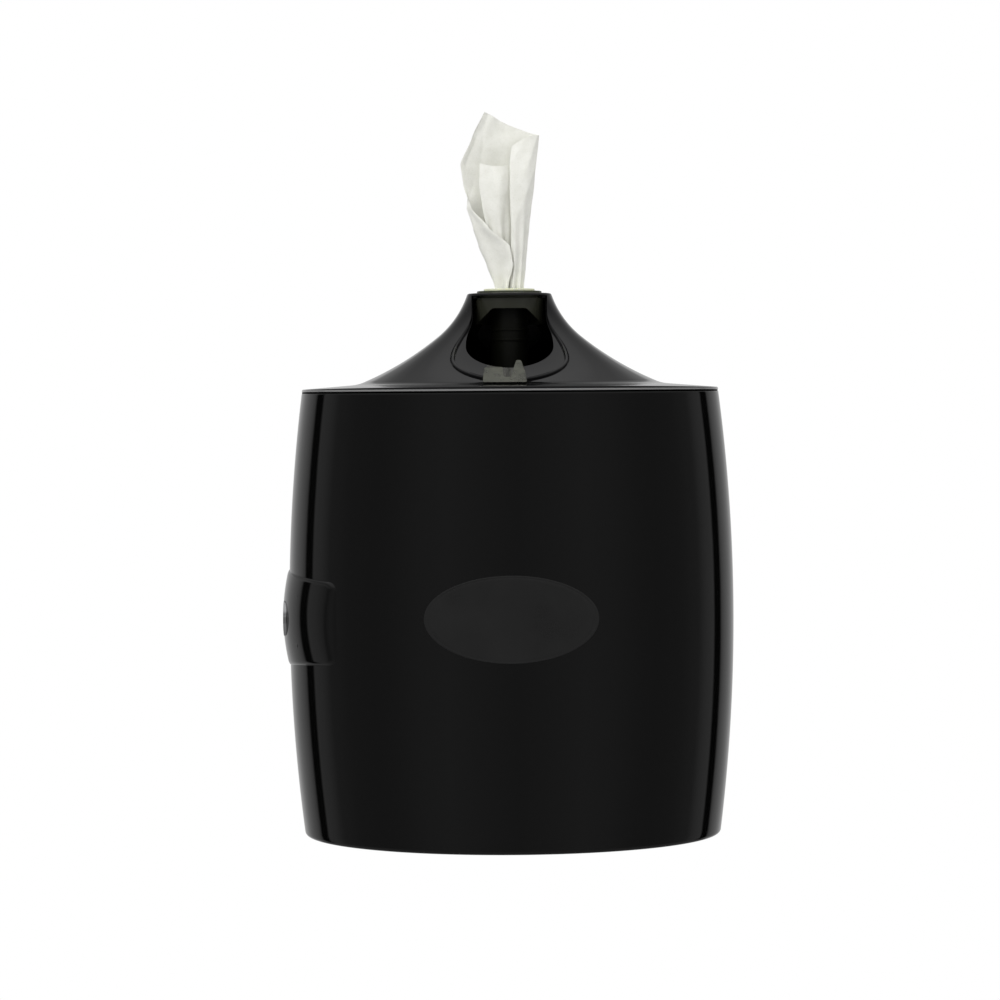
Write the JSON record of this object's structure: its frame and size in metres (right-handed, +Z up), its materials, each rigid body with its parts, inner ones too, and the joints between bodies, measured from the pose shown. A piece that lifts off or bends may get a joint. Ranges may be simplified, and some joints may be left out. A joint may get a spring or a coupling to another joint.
{
  "type": "wall wipes dispenser",
  "caption": "Wall-hung barrel-shaped wipes dispenser: hinged locking front cover over a centre-pull roll, with a cone top that feeds the wipe up through a nozzle.",
  "frame": {"origin": "middle of the four wall screw holes, on the back face that rests on the wall", "axes": "+Y into the wall (the front looks along -Y), +X to the right seen from the front, +Z up"},
  "size_m": [0.2838, 0.2383, 0.4548],
  "materials": {
    "cover_plastic": "glossy moulded black",
    "hood_plastic": "satin-gloss moulded black",
    "housing_plastic": "fine textured black",
    "shelf_plastic": "fine textured black",
    "nozzle_plastic": "satin black",
    "membrane_silicone": "translucent, soft",
    "clear_plastic": "translucent, glossy",
    "zinc_steel": "zinc plated",
    "screw_steel": "zinc plated",
    "lock_chrome": "plated",
    "bush_nylon": "natural nylon",
    "label_film": "matt, bare",
    "wipe_fabric": "damp spunlace nonwoven",
    "roll_fabric": "wound nonwoven"
  },
  "bodies": {
    "wall_unit": {"back_housing": "housing_plastic", "hood": "hood_plastic", "roll_shelf": "shelf_plastic", "wipes_roll": "roll_fabric", "nozzle_body": "nozzle_plastic", "nozzle_membrane": "membrane_silicone", "chute_tube": "nozzle_plastic", "window_clip": "clear_plastic", "strike_plate": "zinc_steel", "strike_screws": "screw_steel", "hood_screws": "screw_steel", "shelf_screws": "screw_steel", "hinge_pin_top": "zinc_steel", "hinge_pin_bottom": "zinc_steel"},
    "cover": {"front_cover": "cover_plastic", "lock_boss": "cover_plastic", "lock_barrel": "lock_chrome", "lock_nut": "zinc_steel", "label_oval": "label_film", "hinge_bush_top": "bush_nylon", "hinge_bush_bottom": "bush_nylon"},
    "lock": {"lock_plug": "lock_chrome", "lock_cam": "zinc_steel", "cam_screw": "screw_steel"},
    "wipe": {"pulled_wipe": "wipe_fabric", "wipe_strand": "wipe_fabric"}
  },
  "joints": [
    {"name": "cover_hinge", "type": "hinge", "parent": "wall_unit", "child": "cover", "pos_m": [0.125, -0.096, 0], "axis": [0, 0, 1], "range_deg": [0, 100]},
    {"name": "lock_turn", "type": "hinge", "parent": "cover", "child": "lock", "pos_m": [-0.13, -0.1326, -0.002], "axis": [-1, 0, 0], "range_deg": [0, 90]},
    {"name": "wipe_pull", "type": "slide", "parent": "wall_unit", "child": "wipe", "axis": [0, 0, 1], "range_m": [0, 0.09]}
  ]
}
